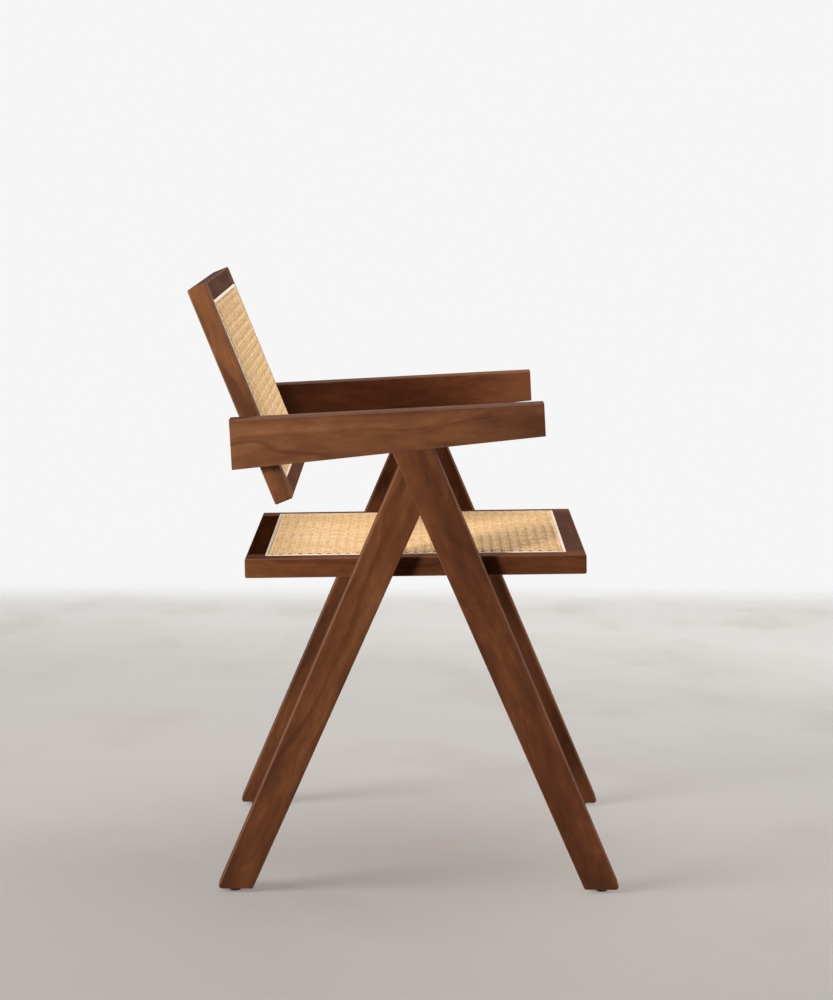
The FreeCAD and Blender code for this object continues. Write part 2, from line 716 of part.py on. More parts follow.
def cut_socket(screw):
    """The square driver socket in the screw's head."""
    sketch = new_sketch(screw, f"{screw.Name}_socket", "XY_Plane")
    half = "Sizes.screw_socket / 2"
    draw_outline(sketch, [(f"-{half}", f"-{half}"), (half, f"-{half}"), (half, half), (f"-{half}", half)])
    sketch.setExpression("AttachmentOffset", "placement(vector(0; 0; -Sizes.screw_head_height); "
                                             "rotation(vector(0; 0; 1); 0))")
    doc.recompute()
    before = screw.Shape.Volume
    pocket = screw.newObject("PartDesign::Pocket", f"{screw.Name}_socket_cut")
    pocket.Profile = sketch
    pocket.Reversed = True
    pocket.setExpression("Length", "Sizes.screw_head_height * 2 / 3")
    doc.recompute()
    if pocket.Shape.Volume > before - 1:
        raise RuntimeError(f"{screw.Name}: the socket took nothing away")


def build_glides():
    nails = []
    recess = "(Sizes.nail_recess + Sizes.nail_head_height)"
    pad_outline = [
        ("Sizes.nail_head_radius", "0"),
        ("Sizes.glide_radius - Sizes.glide_round", "0"),
        ("Sizes.glide_radius", "Sizes.glide_round"),
        ("Sizes.glide_radius", "Sizes.glide_height"),
        ("Sizes.nail_radius", "Sizes.glide_height"),
        ("Sizes.nail_radius", recess),
        ("Sizes.nail_head_radius", recess),
    ]
    nail_outline = [
        ("0", "Sizes.nail_recess"),
        ("Sizes.nail_head_radius", "Sizes.nail_recess"),
        ("Sizes.nail_head_radius", recess),
        ("Sizes.nail_radius", recess),
        ("Sizes.nail_radius", "Sizes.nail_recess + Sizes.nail_length - 2 * Sizes.nail_radius"),
        ("0", "Sizes.nail_recess + Sizes.nail_length"),
    ]
    for side in SIDES:
        x = f"({side_x(side)} + {MID_SIDE})"
        for which, y in FOOT_MIDDLE_Y.items():
            for kind, outline, members in (("pad", pad_outline, nodes), ("nail", nail_outline, nails)):
                piece = turned_body(f"glide_{kind}_{which}_{side}", outline)
                piece.setExpression("Placement", placed((x, y, "0"), UPWARD))
                members.append(piece)
    group("glide_nails", nails)


def build_side_dowels():
    arm_pins = []
    leg_pins = []
    back_pins = []
    for side in SIDES:
        x = f"({side_x(side)} + {MID_SIDE})"
        inner_x = f"(-{FRAME_HALF_WIDTH})" if side == "right" else FRAME_HALF_WIDTH
        for i, (ahead, height) in enumerate(ARM_DOWELS, 1):
            arm_pins.append(dowel(f"arm_dowel_{side}_{i}", "Sizes.thick_dowel_radius",
                                  "Sizes.arm_dowel_half", (x, y_of(ahead), height), INTO_ARM))
        for i, (ahead, height) in enumerate(LEG_DOWELS, 1):
            leg_pins.append(dowel(f"leg_dowel_{side}_{i}", "Sizes.dowel_radius", "Sizes.dowel_half",
                                  (x, y_of(ahead), height), INTO_FRONT_LEG))
        for i, (y, z) in enumerate(BACK_DOWELS, 1):
            back_pins.append(dowel(f"back_arm_dowel_{side}_{i}", "Sizes.thick_dowel_radius",
                                   "Sizes.dowel_half", (inner_x, y, z), ALONG_X))
    group("arm_dowels", arm_pins)
    group("leg_dowels", leg_pins)
    group("back_arm_dowels", back_pins)


def build_all():
    for side in SIDES:
        build_front_leg(side)
        build_rear_leg(side)
        build_arm(side)
        rail = build_side_member(f"seat_side_{side}", side, SEAT, SEAT_HALF, "Sizes.seat_thickness")
        drill_seat_screws(rail, f"seat_side_{side}", side)
        stile = build_side_member(f"back_stile_{side}", side, BACK, BACK_HALF, "Sizes.back_thickness")
        drill_arm_dowels(stile, f"back_stile_{side}", side)
    build_cross_member("seat_rail_front", "-", SEAT, SEAT_HALF, "Sizes.seat_thickness")
    build_cross_member("seat_rail_rear", "", SEAT, SEAT_HALF, "Sizes.seat_thickness")
    build_cross_member("back_rail_bottom", "-", BACK, BACK_HALF, "Sizes.back_thickness")
    build_cross_member("back_rail_top", "", BACK, BACK_HALF, "Sizes.back_thickness")
    for name, panel, half_length in (("seat", SEAT, SEAT_HALF), ("back", BACK, BACK_HALF)):
        build_cane(f"{name}_cane", panel, half_length, f"Sizes.{name}_mesh_along")
        build_spline(f"{name}_spline", panel, half_length)
        corner_dowels(f"{name}_dowels", panel, half_length)
    build_side_dowels()
    build_screws()
    build_glides()


def write_nodes():
    """Writes every node after checking that nothing in the document failed."""
    doc.recompute()
    for thing in doc.Objects:
        if "Invalid" in thing.State or "Error" in thing.State:
            raise RuntimeError(f"{thing.Name} is {thing.State}")
    os.makedirs("parts", exist_ok=True)
    for node in nodes:
        shape = node.Shape
        if shape.isNull() or not shape.isValid():
            raise RuntimeError(f"{node.Label} has no valid shape")
        shape.exportStep(f"parts/{node.Label}.step")


build_all()
write_nodes()
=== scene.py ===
import math
import random

import bpy
import numpy as np
from mathutils import Matrix, Vector


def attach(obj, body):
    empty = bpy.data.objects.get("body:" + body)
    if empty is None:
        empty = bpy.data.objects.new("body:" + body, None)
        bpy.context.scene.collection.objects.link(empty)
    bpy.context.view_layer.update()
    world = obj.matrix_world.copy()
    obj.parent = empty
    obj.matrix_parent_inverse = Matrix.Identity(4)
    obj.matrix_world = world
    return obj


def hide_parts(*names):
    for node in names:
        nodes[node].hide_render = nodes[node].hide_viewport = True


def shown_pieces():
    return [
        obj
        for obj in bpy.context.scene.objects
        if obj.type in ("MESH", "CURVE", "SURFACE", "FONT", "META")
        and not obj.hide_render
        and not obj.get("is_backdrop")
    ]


# Dining armchair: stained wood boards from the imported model, woven cane panels and reed splines made here.
# Metres, +Z up, floor at Z 0, the chair faces -Y, the sitter's right hand is at -X.

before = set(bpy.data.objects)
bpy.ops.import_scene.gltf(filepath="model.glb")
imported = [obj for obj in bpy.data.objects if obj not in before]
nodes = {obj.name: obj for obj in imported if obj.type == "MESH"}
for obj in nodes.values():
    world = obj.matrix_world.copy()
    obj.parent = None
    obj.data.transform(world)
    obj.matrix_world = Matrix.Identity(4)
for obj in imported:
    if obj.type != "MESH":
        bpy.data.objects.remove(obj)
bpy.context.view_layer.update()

MM = 0.001

# Sizes of the caned frames, as in the part's source
FRAME_HALF_WIDTH = 235 * MM
BORDER_WIDTH = 25.5 * MM
SPLINE_WIDTH = 5 * MM
SPLINE_PROUD = 1.2 * MM
SPLINE_ROUND = 2.2 * MM
SEAT_HALF_LENGTH = 224.85 * MM
BACK_HALF_LENGTH = 151.5 * MM
SEAT_TILT = math.radians(-0.95)
BACK_RECLINE = math.radians(22.2)
SEAT_ORIGIN = Vector((0, -13.98, 443.5)) * MM
BACK_ORIGIN = Vector((0, 204.02, 660.7)) * MM
LEG_LEAN = math.radians(23.4)
ARM_LEAN = math.radians(4.8)

SEAT_PLACE = Matrix.Translation(SEAT_ORIGIN) @ Matrix.Rotation(SEAT_TILT, 4, "X")
BACK_PLACE = Matrix.Translation(BACK_ORIGIN) @ Matrix.Rotation(math.pi / 2 - BACK_RECLINE, 4, "X")

# The weave: pairs of strands both ways and single diagonals
CANE_PITCH = 12.7 * MM
PAIR_GAP = 3.3 * MM
STRAND_WIDTH = 2.1 * MM
DIAGONAL_WIDTH = 2.8 * MM
STRAND_THICKNESS = 1.0 * MM
PAIR_SWING = 0.45 * MM
DIAGONAL_SWING = 0.8 * MM
WEAVE_HEIGHT = 1.05 * MM
COLUMN_LIFT = 0.2 * MM
# Cross-section of a strand: sideways in widths and upward in thicknesses
STRAND_PROFILE = ((-0.5, 0.05), (-0.34, 0.58), (0.0, 0.82), (0.34, 0.58), (0.5, 0.05), (0.0, -0.3))
# Random waver of a strand and spread of the strands' widths
STRAND_WAVER = 0.07 * MM
WIDTH_SPREAD = 0.05
# Where the weave bends over the inner edge of the groove and goes down beside the spline
EDGE_CLEARANCE = 4 * MM
BEND_INSIDE = 1.0 * MM
BEND_HEIGHT = 0.3 * MM
TUCK_UNDER_SPLINE = 1.0 * MM
TUCK_DEPTH = 2.5 * MM
# The reed: depth in the groove, points of each rounded edge, spacing along its length and random waver
REED_DEPTH = 4 * MM
REED_ROUND_POINTS = 7
REED_STEP = 8 * MM
REED_WAVER = 0.03 * MM

# Figure of the wood: its random shift in each board and where the pith lies beside the board
SHIFT_ALONG = 9.0
SHIFT_ACROSS = 0.5
PITH_ASIDE = (0.03, 0.07)
PITH_DEPTH = (0.05, 0.09)
RING_WIDTH = 0.024
# The rings lie along the board and are a little flattened
RING_STRETCH = (0.0, 1.0, 0.8)
GRAIN_WANDER = 0.055
# Share of each feature in the tone of the wood
TONE_BASE = -0.62
BROAD_STREAKS = 0.45
NARROW_STREAKS = 0.16
FIBRES = 0.20
BLOTCHES = 1.00
MOTTLING = 0.50
LATE_WOOD = -0.30
PORES = -0.14
DARK_LINES = -0.24
# Colours from the darkest to the lightest tone, before the stain of each board
WOOD_TONES = (
    (0.15, (0.087, 0.0310, 0.0130)),
    (0.40, (0.131, 0.0460, 0.0175)),
    (0.60, (0.173, 0.0630, 0.0230)),
    (0.88, (0.241, 0.0950, 0.0356)),
)
# Paler wood on the rounded edges: partly wear, partly a painted highlight
WORN_AND_HIGHLIT_WOOD = (0.30, 0.155, 0.100, 1.0)
# An edge is lightened, partly as wear and partly as a painted highlight, where the product of its two
# facings passes these; it is 0.5 halfway round an edge
EDGE_LIGHTENING_FROM = 0.25
EDGE_LIGHTENING_FULL = 0.48
MOST_EDGE_LIGHTENING = 0.32

# Cane: colours from the darkest to the lightest strand, of the strands' edges, darkened partly as painted
# shade, and of the flecks
CANE_TONES = (
    (0.25, (0.65, 0.390, 0.175)),
    (0.55, (0.84, 0.578, 0.308)),
    (0.90, (0.94, 0.730, 0.470)),
)
CANE_EDGE_SHADE = (0.46, 0.22, 0.075, 1.0)
CANE_FLECK = (0.33, 0.16, 0.06, 1.0)
FLECK_STRENGTH = 0.55
# Shift of the figure from one strand to another
STRAND_SHIFT = 37.0
# Reed, bare wood, zinc and dark plastic, from dark to light
REED_TONES = (
    (0.30, (0.68, 0.47, 0.33)),
    (0.55, (0.84, 0.65, 0.50)),
    (0.80, (0.90, 0.75, 0.61)),
)
DOWEL_TONES = ((0.3, (0.50, 0.34, 0.20)), (0.7, (0.68, 0.50, 0.32)))
STEEL_TONES = ((0.3, (0.44, 0.43, 0.41)), (0.7, (0.62, 0.61, 0.58)))
GLIDE_TONES = ((0.35, (0.012, 0.011, 0.010)), (0.75, (0.045, 0.042, 0.038)))

# Floor and wall
FLOOR_HALF = 2.7
FLOOR_FADES_FROM = 2.0
FLOOR_FADES_TO = 2.42
# Painted light on the floor: its colour is darkest about this spot and lighter away from it, in place of the
# lamps' falloff
DARKEST_FLOOR = Vector((-0.6, 0.6, 0.0))
FLOOR_TONE_REACH = 2.6
FLOOR_TONE_BASE = -0.08
FLOOR_CLOUDS = 0.16
# Painted light: colours from the darkest spot outward, lighter in the middle against the chair's shade and
# near the far edge
FLOOR_TONES = (
    (0.05, (0.635, 0.594, 0.566)),
    (0.18, (0.645, 0.602, 0.570)),
    (0.30, (0.705, 0.660, 0.620)),
    (0.62, (0.735, 0.700, 0.662)),
    (0.80, (0.790, 0.758, 0.722)),
    (0.98, (0.965, 0.938, 0.900)),
)
FLOOR_STAIN = (0.620, 0.565, 0.515, 1.0)
MOST_STAINED = 0.35
WALL_COLOUR = (0.92, 0.92, 0.92, 1.0)
AMBIENT_COLOUR = (1.0, 0.99, 0.98, 1.0)
AMBIENT_STRENGTH = 0.03

# Camera: place, lens and turns in degrees
CAMERA_PLACE = (-4.0765, -0.0204, 1.0048)
CAMERA_LENS = 106.4
CAMERA_SENSOR = 36.0
CAMERA_HEADING = -89.92
CAMERA_LOOKS_DOWN = 7.214
CAMERA_ROLL = 0.182


# Node helpers

class Shader:
    """A short way to add and join the nodes of one material."""

    # Places of the colour sockets on a mix node
    MIX_FIRST = 6
    MIX_SECOND = 7
    MIX_RESULT = 2

    def __init__(self, name):
        self.material = bpy.data.materials.new(name)
        self.material.use_nodes = True
        self.tree = self.material.node_tree
        self.tree.nodes.clear()
        self.output = self.tree.nodes.new("ShaderNodeOutputMaterial")

    def add(self, kind, **settings):
        node = self.tree.nodes.new(kind)
        for key, setting in settings.items():
            setattr(node, key, setting)
        return node

    def put(self, node, socket, source):
        """Joins a socket to another node's output, or sets its value."""
        if isinstance(source, bpy.types.NodeSocket):
            self.tree.links.new(source, node.inputs[socket])
        else:
            node.inputs[socket].default_value = source

    def math(self, operation, first, second=0.0, third=0.0):
        node = self.add("ShaderNodeMath", operation=operation)
        for index, source in enumerate((first, second, third)):
            self.put(node, index, source)
        return node.outputs[0]

    def weighted_sum(self, start, terms):
        """The number `start` plus every term's source times its share."""
        total = start
        for source, share in terms:
            total = self.math("MULTIPLY_ADD", source, share, total)
        return total

    def vector_node(self, operation, first, second):
        node = self.add("ShaderNodeVectorMath", operation=operation)
        self.put(node, 0, first)
        self.put(node, 1, second)
        return node

    def vector(self, operation, first, second):
        """A vector worked out from two vectors."""
        return self.vector_node(operation, first, second).outputs["Vector"]

    def measure(self, operation, first, second=(0.0, 0.0, 0.0)):
        """A number worked out from one or two vectors."""
        return self.vector_node(operation, first, second).outputs["Value"]

    def noise(self, vector, stretch, detail=2.0, roughness=0.5, output="Fac"):
        """Noise with its own scale along each axis, between 0 and 1."""
        node = self.add("ShaderNodeTexNoise")
        self.put(node, "Vector", self.vector("MULTIPLY", vector, stretch))
        self.put(node, "Scale", 1.0)
        self.put(node, "Detail", detail)
        self.put(node, "Roughness", roughness)
        return node.outputs[output]

    def ramp(self, factor, stops):
        node = self.add("ShaderNodeValToRGB")
        elements = node.color_ramp.elements
        while len(elements) < len(stops):
            elements.new(0.5)
        for element, (position, colour) in zip(elements, stops):
            element.position = position
            element.color = (*colour, 1.0)
        self.put(node, "Fac", factor)
        return node.outputs["Color"]

    def range(self, source, low, high, to_low=0.0, to_high=1.0):
        """Maps low..high smoothly to to_low..to_high and keeps within them."""
        node = self.add("ShaderNodeMapRange", interpolation_type="SMOOTHSTEP")
        self.put(node, "Value", source)
        self.put(node, "From Min", low)
        self.put(node, "From Max", high)
        self.put(node, "To Min", to_low)
        self.put(node, "To Max", to_high)
        return node.outputs["Result"]

    def mix(self, factor, first, second):
        node = self.add("ShaderNodeMix", data_type="RGBA")
        self.put(node, "Factor", factor)
        self.put(node, self.MIX_FIRST, first)
        self.put(node, self.MIX_SECOND, second)
        return node.outputs[self.MIX_RESULT]

    def principled(self, colour, roughness, height, bump, depth, **constants):
        """The surface, with a relief of that bump strength and depth, joined to the output."""
        node = self.add("ShaderNodeBsdfPrincipled")
        self.put(node, "Base Color", colour)
        self.put(node, "Roughness", roughness)
        for socket, setting in constants.items():
            self.put(node, socket.replace("_", " "), setting)
        relief = self.add("ShaderNodeBump")
        self.put(relief, "Strength", bump)
        self.put(relief, "Distance", depth)
        self.put(relief, "Height", height)
        self.put(node, "Normal", relief.outputs["Normal"])
        self.tree.links.new(node.outputs["BSDF"], self.output.inputs["Surface"])
        return node


def even(value):
    """The same number for all three axes or colours."""
    return (value, value, value)


def toned(colour, stain):
    """The colour with each of its channels changed by the stain."""
    return tuple(channel * share for channel, share in zip(colour, stain))


# Materials

def growth_rings(shader, bent, pith):
    """The dark late wood of wide growth rings about the pith, in some rings darker than in others."""
    from_pith = shader.vector("MULTIPLY", shader.vector("SUBTRACT", bent, pith), RING_STRETCH)
    phase = shader.math("DIVIDE", shader.measure("LENGTH", from_pith), RING_WIDTH)
    ring_number = shader.add("ShaderNodeTexWhiteNoise", noise_dimensions="1D")
    shader.put(ring_number, "W", shader.math("FLOOR", phase))
    late = shader.ramp(shader.math("FRACT", phase), (
        (0.0, even(0.3)), (0.12, even(0.0)), (0.60, even(0.25)), (0.94, even(1.0)), (1.0, even(0.3))))
    return shader.math("MULTIPLY", late, ring_number.outputs["Value"])


def worn_and_highlit_edges(shader, across, out):
    """How far the edges are lightened, partly as wear and partly as a painted highlight: most on rounded
    edges, which face partly across and partly out.
    """
    normal = shader.add("ShaderNodeNewGeometry").outputs["True Normal"]
    facing = []
    for direction in (across, out):
        facing.append(shader.math("ABSOLUTE", shader.measure("DOT_PRODUCT", normal, direction)))
    return shader.range(shader.math("MULTIPLY", *facing), EDGE_LIGHTENING_FROM, EDGE_LIGHTENING_FULL, 0.0, MOST_EDGE_LIGHTENING)


def stained_wood(name, grain, face, middle, seed, stain, shine, painted_light_drift):
    """Dark stained wood; its figure, streaks, fibres and pores run along the direction `grain`.

    Its tone rises by the given change per metre along the grain, counted from the board's `middle`: painted
    light and shade along the board.
    """
    pick = random.Random(seed)
    shader = Shader(name)
    along = Vector(grain).normalized()
    out = Vector(face).normalized()
    across = out.cross(along).normalized()
    shift_along = pick.uniform(-SHIFT_ALONG, SHIFT_ALONG)
    shift_across = pick.uniform(-SHIFT_ACROSS, SHIFT_ACROSS)
    shift_out = pick.uniform(-SHIFT_ACROSS, SHIFT_ACROSS)
    pith_across = shift_across + pick.uniform(*PITH_ASIDE)
    pith_out = shift_out + pick.choice((-1, 1)) * pick.uniform(*PITH_DEPTH)
    place = shader.add("ShaderNodeTexCoord").outputs["Object"]
    mapping = shader.add("ShaderNodeMapping")
    shader.put(mapping, "Vector", place)
    shader.put(mapping, "Rotation", Matrix((along, across, out)).to_euler())
    shader.put(mapping, "Location", (shift_along, shift_across, shift_out))
    board = mapping.outputs["Vector"]

    # The grain wanders slowly along the board
    wander = shader.vector("SUBTRACT", shader.noise(board, (3.6, 9.0, 9.0), output="Color"), even(0.5))
    bend = shader.vector("MULTIPLY", wander, (0.0, GRAIN_WANDER, GRAIN_WANDER))
    bent = shader.vector("ADD", board, bend)

    def streaks(along_scale, cross_scale, detail, roughness=0.5):
        return shader.noise(bent, (along_scale, cross_scale, cross_scale), detail, roughness)

    # Streaks, fibres, pores, slow and small changes of tone, single dark lines
    late_wood = growth_rings(shader, bent, (0.0, pith_across, pith_out))
    broad = streaks(1.2, 30.0, 1.5)
    narrow = streaks(3.0, 100.0, 2.0)
    fibres = streaks(9.0, 520.0, 2.0, 0.6)
    pores = shader.range(streaks(45.0, 900.0, 1.0), 0.60, 0.74)
    blotch = streaks(9.0, 30.0, 3.0, 0.55)
    mottle = streaks(36.0, 105.0, 3.0, 0.6)
    off_level = shader.math("ABSOLUTE", shader.math("SUBTRACT", streaks(0.8, 10.0, 0.0), 0.5))
    line = shader.range(off_level, 0.0, 0.016, 1.0, 0.0)
    # Painted light and shade: the tone slopes along the board from its middle
    travel = shader.measure("DOT_PRODUCT", shader.vector("SUBTRACT", place, middle), along)

    tone = shader.weighted_sum(TONE_BASE, (
        (broad, BROAD_STREAKS),
        (narrow, NARROW_STREAKS),
        (fibres, FIBRES),
        (blotch, BLOTCHES),
        (mottle, MOTTLING),
        (late_wood, LATE_WOOD),
        (pores, PORES),
        (line, DARK_LINES),
        (travel, painted_light_drift),
    ))
    wood = shader.ramp(tone, [(position, toned(colour, stain)) for position, colour in WOOD_TONES])
    # Paler rounded edges: partly wear, partly a painted highlight
    colour = shader.mix(worn_and_highlit_edges(shader, across, out), wood, WORN_AND_HIGHLIT_WOOD)
    roughness = shader.math("MULTIPLY_ADD", fibres, 0.25, 0.55)
    height = shader.math("MULTIPLY_ADD", pores, -0.8, fibres)
    height = shader.math("MULTIPLY_ADD", late_wood, 0.25, height)
    shader.principled(colour, roughness, height, bump=0.15, depth=0.2 * MM, Specular_IOR_Level=shine)
    return shader.material


def cane_material():
    """Split cane: straw coloured, each strand a little different, with flecks, and darker at its edges and
    underneath, partly as the duller underside and partly as painted shade.
    """
    shader = Shader("cane")
    strand = shader.add("ShaderNodeAttribute", attribute_name="tint").outputs["Fac"]
    crown = shader.add("ShaderNodeAttribute", attribute_name="crown").outputs["Fac"]
    shifted = shader.add("ShaderNodeCombineXYZ")
    shader.put(shifted, "Z", shader.math("MULTIPLY", strand, STRAND_SHIFT))
    place = shader.vector("ADD", shader.add("ShaderNodeUVMap").outputs["UV"], shifted.outputs["Vector"])
    fibres = shader.noise(place, (60.0, 9.0, 1.0), 3.0, 0.6)
    slow = shader.noise(place, (9.0, 0.5, 1.0))
    flecks = shader.range(shader.noise(place, (110.0, 1.4, 1.0), 1.0), 0.66, 0.80)
    tone = shader.weighted_sum(0.0, ((strand, 0.42), (slow, 0.45), (fibres, 0.30)))
    straw = shader.ramp(tone, CANE_TONES)
    # Painted shade in the weave, with some real dullness: darker down the sides and underneath each strand
    rounded = shader.mix(shader.range(crown, 0.0, 0.95, 0.70, 0.0), straw, CANE_EDGE_SHADE)
    colour = shader.mix(shader.math("MULTIPLY", flecks, FLECK_STRENGTH), rounded, CANE_FLECK)
    roughness = shader.math("MULTIPLY_ADD", fibres, 0.25, 0.45)
    shader.principled(colour, roughness, fibres, bump=0.15, depth=0.2 * MM, Specular_IOR_Level=0.0)
    return shader.material


def reed_material():
    """Pale reed with fine fibres along its length."""
    shader = Shader("reed")
    uv = shader.add("ShaderNodeUVMap").outputs["UV"]
    fibres = shader.noise(uv, (30.0, 22.0, 1.0), 4.0, 0.6)
    slow = shader.noise(uv, (14.0, 1.0, 1.0))
    colour = shader.ramp(shader.weighted_sum(0.0, ((slow, 0.5), (fibres, 0.6))), REED_TONES)
    roughness = shader.math("MULTIPLY_ADD", fibres, 0.2, 0.42)
    shader.principled(colour, roughness, fibres, bump=0.25, depth=0.3 * MM, Specular_IOR_Level=0.3)
    return shader.material


def dowel_material():
    """Bare pale hardwood."""
    shader = Shader("dowel_wood")
    coordinates = shader.add("ShaderNodeTexCoord").outputs["Object"]
    fibres = shader.noise(coordinates, even(420.0), 4.0, 0.6)
    roughness = shader.math("MULTIPLY_ADD", fibres, 0.2, 0.5)
    colour = shader.ramp(fibres, DOWEL_TONES)
    shader.principled(colour, roughness, fibres, bump=0.2, depth=0.2 * MM)
    return shader.material


def steel_material():
    """Zinc plated steel with a faint cloudy finish."""
    shader = Shader("steel")
    coordinates = shader.add("ShaderNodeTexCoord").outputs["Object"]
    cloud = shader.noise(coordinates, even(260.0), 3.0, 0.55)
    roughness = shader.math("MULTIPLY_ADD", cloud, 0.25, 0.25)
    colour = shader.ramp(cloud, STEEL_TONES)
    shader.principled(colour, roughness, cloud, bump=0.08, depth=0.1 * MM, Metallic=1.0)
    return shader.material


def glide_material():
    """Dark moulded plastic, scuffed in places."""
    shader = Shader("glide_plastic")
    coordinates = shader.add("ShaderNodeTexCoord").outputs["Object"]
    grain = shader.noise(coordinates, even(900.0), 3.0, 0.6)
    scuff = shader.noise(coordinates, even(160.0), 4.0, 0.7)
    roughness = shader.math("MULTIPLY_ADD", grain, 0.25, 0.45)
    colour = shader.ramp(scuff, GLIDE_TONES)
    shader.principled(colour, roughness, grain, bump=0.2, depth=0.2 * MM)
    return shader.material


# Pieces made here

def mesh_piece(name, vertices, faces, uvs, place, material, attributes=None):
    """A smooth-shaded mesh from arrays; `uvs` holds one pair per vertex, each attribute one number."""
    mesh = bpy.data.meshes.new(name)
    mesh.from_pydata(vertices.tolist(), [], faces)
    mesh.transform(place)
    mesh.polygons.foreach_set("use_smooth", np.ones(len(faces), dtype=bool))
    layer = mesh.uv_layers.new(name="UVMap")
    corner = np.empty(len(mesh.loops), dtype=np.int32)
    mesh.loops.foreach_get("vertex_index", corner)
    layer.data.foreach_set("uv", uvs[corner].astype(np.float32).ravel())
    for key, shares in (attributes or {}).items():
        attribute = mesh.attributes.new(key, "FLOAT", "POINT")
        attribute.data.foreach_set("value", shares.astype(np.float32))
    mesh.update()
    mesh.materials.append(material)
    piece = bpy.data.objects.new(name, mesh)
    bpy.context.scene.collection.objects.link(piece)
    return piece


class Strands:
    """Collects ribbons of cane into one mesh."""

    def __init__(self, seed):
        self.pick = np.random.default_rng(seed)
        self.vertices = []
        self.faces = []
        self.uvs = []
        self.tints = []
        self.crowns = []
        self.count = 0

    def add(self, points, width):
        """A domed ribbon through `points` (x, y, height), swept sideways in the plane of the weave."""
        points = np.array(points, dtype=float)
        heading = points[-1, :2] - points[0, :2]
        length = np.linalg.norm(heading)
        side = np.array((-heading[1], heading[0], 0.0)) / length
        points = points + side * self.pick.normal(0.0, STRAND_WAVER, (len(points), 1))
        width = width * self.pick.normal(1.0, WIDTH_SPREAD)
        profile = np.array(STRAND_PROFILE)
        sideways = profile[:, 0, None] * width * side
        upward = profile[:, 1, None] * STRAND_THICKNESS * np.array((0.0, 0.0, 1.0))
        rings = points[:, None, :] + (sideways + upward)[None, :, :]
        rows, around = rings.shape[:2]
        index = self.count + np.arange(rows * around).reshape(rows, around)
        ahead = np.roll(index, -1, axis=1)
        quads = np.stack((index[:-1], ahead[:-1], ahead[1:], index[1:]), axis=-1).reshape(-1, 4)
        travel = np.linalg.norm(points[:, :2] - points[0, :2], axis=1)
        along = np.repeat(travel, around)
        around_share = np.tile(np.arange(around) / around, rows)
        self.vertices.append(rings.reshape(-1, 3))
        self.faces += quads.tolist() + [index[0].tolist(), index[-1, ::-1].tolist()]
        self.uvs.append(np.stack((along, around_share), axis=-1))
        self.tints.append(np.full(rows * around, self.pick.uniform()))
        self.crowns.append(np.tile(profile[:, 1] / profile[:, 1].max(), rows))
        self.count += rows * around

    def piece(self, name, place, material):
        attributes = {"tint": np.concatenate(self.tints), "crown": np.concatenate(self.crowns)}
        vertices = np.concatenate(self.vertices)
        return mesh_piece(name, vertices, self.faces, np.concatenate(self.uvs), place, material, attributes)


def lattice(half):
    """Centres of the strand pairs across an opening of that half size, and their shift in pitches.

    The pairs lie either on the middle or beside it, whichever leaves less at the edge.
    """
    reach = half - EDGE_CLEARANCE - PAIR_GAP / 2
    count = reach / CANE_PITCH
    shift = 0.5 if (count - 0.5) % 1.0 < count % 1.0 else 0.0
    last = math.floor(count - shift) + shift
    return np.arange(-last, last + 0.5) * CANE_PITCH, shift


def tucked(travel_and_height, start, stop):
    """Keeps what lies between the two ends and bends it down into the groove there."""
    inside = [key for key in travel_and_height if start + 2 * BEND_INSIDE < key[0] < stop - 2 * BEND_INSIDE]
    head = [(start - TUCK_UNDER_SPLINE, -TUCK_DEPTH), (start + BEND_INSIDE, BEND_HEIGHT)]
    tail = [(stop - BEND_INSIDE, BEND_HEIGHT), (stop + TUCK_UNDER_SPLINE, -TUCK_DEPTH)]
    return head + inside + tail


def straight_strand(centres, half, sign, middle):
    """(travel, height) of one strand of a pair that weaves through the crossing pairs at `centres`.

    It swings about the height `middle`.
    """
    keys = []
    for centre in centres:
        for other in (-1, 1):
            keys.append((centre + other * PAIR_GAP / 2, middle + sign * other * PAIR_SWING))
        for share in (0.4, 0.6):
            keys.append((centre + share * CANE_PITCH, middle))
    return tucked(keys, -half, half)


def diagonal_strand(offset, slope, half_x, half_y, shift, over_columns):
    """Points of the diagonal y = slope * x + offset, over the columns and under the rows or the reverse."""
    ends = sorted(((-half_y - offset) * slope, (half_y - offset) * slope))
    start = max(-half_x, ends[0])
    stop = min(half_x, ends[1])
    if stop - start < CANE_PITCH / 2:
        return []
    quarter = CANE_PITCH / 4
    first = shift * CANE_PITCH
    keys = []
    for step in range(math.ceil((start - first) / quarter), math.floor((stop - first) / quarter) + 1):
        swing = (1, 0, -1, 0)[step % 4] * (1 if over_columns else -1)
        keys.append((first + step * quarter, WEAVE_HEIGHT + swing * DIAGONAL_SWING))
    return [(x, slope * x + offset, z) for x, z in tucked(keys, start, stop)]


def woven_cane(name, half_length, place, material, seed):
    """The six-way weave with eight-sided holes, cut to the panel and tucked down beside the spline."""
    half_x = FRAME_HALF_WIDTH - BORDER_WIDTH - SPLINE_WIDTH
    half_y = half_length - BORDER_WIDTH - SPLINE_WIDTH
    columns, column_shift = lattice(half_x)
    rows, row_shift = lattice(half_y)
    strands = Strands(seed)
    for column in columns:
        for sign in (-1, 1):
            x = column + sign * PAIR_GAP / 2
            woven = straight_strand(rows, half_y, -sign, WEAVE_HEIGHT + COLUMN_LIFT)
            strands.add([(x, y, z) for y, z in woven], STRAND_WIDTH)
    for row in rows:
        for sign in (-1, 1):
            y = row + sign * PAIR_GAP / 2
            woven = straight_strand(columns, half_x, sign, WEAVE_HEIGHT - COLUMN_LIFT)
            strands.add([(x, y, z) for x, z in woven], STRAND_WIDTH)
    reach = int((half_x + half_y) / CANE_PITCH) + 1
    for number in range(-reach, reach):
        offset = (number + 0.5 + column_shift + row_shift) * CANE_PITCH
        for slope in (1, -1):
            points = diagonal_strand(offset, slope, half_x, half_y, column_shift, slope > 0)
            if points:
                strands.add(points, DIAGONAL_WIDTH)
    return strands.piece(name, place, material)


